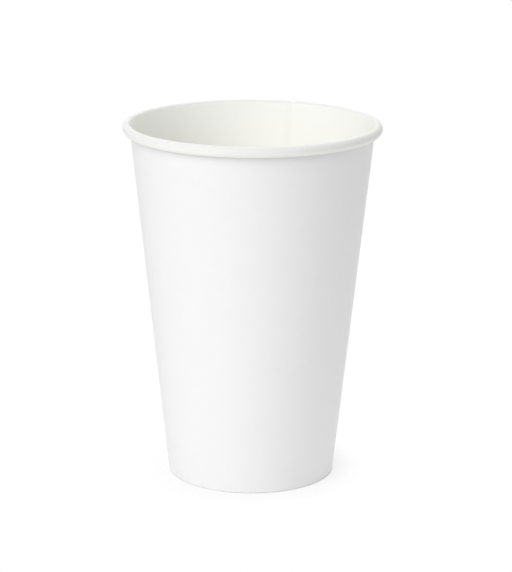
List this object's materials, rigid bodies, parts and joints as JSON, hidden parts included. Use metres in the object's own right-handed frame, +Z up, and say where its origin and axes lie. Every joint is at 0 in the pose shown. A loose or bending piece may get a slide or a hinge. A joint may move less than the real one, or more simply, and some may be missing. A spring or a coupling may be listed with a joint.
{
  "type": "paper cup",
  "caption": "Plain white single-wall paper cup for hot drinks, with a rolled rim, a lapped side seam and a recessed bottom held by a folded hem.",
  "frame": {"origin": "on the cup's axis, at the level of the fold that the cup stands on", "axes": "+Z up along the axis; the pictured front is towards -Y; the lapped seam is at the back, with its inner cut edge 69 degrees from +X towards +Y"},
  "size_m": [0.09, 0.09, 0.1255],
  "materials": {
    "sidewall_board": "matte",
    "bottom_board": "satin"
  },
  "bodies": {
    "root": {"sidewall": "sidewall_board", "bottom_disc": "bottom_board"}
  },
  "joints": []
}
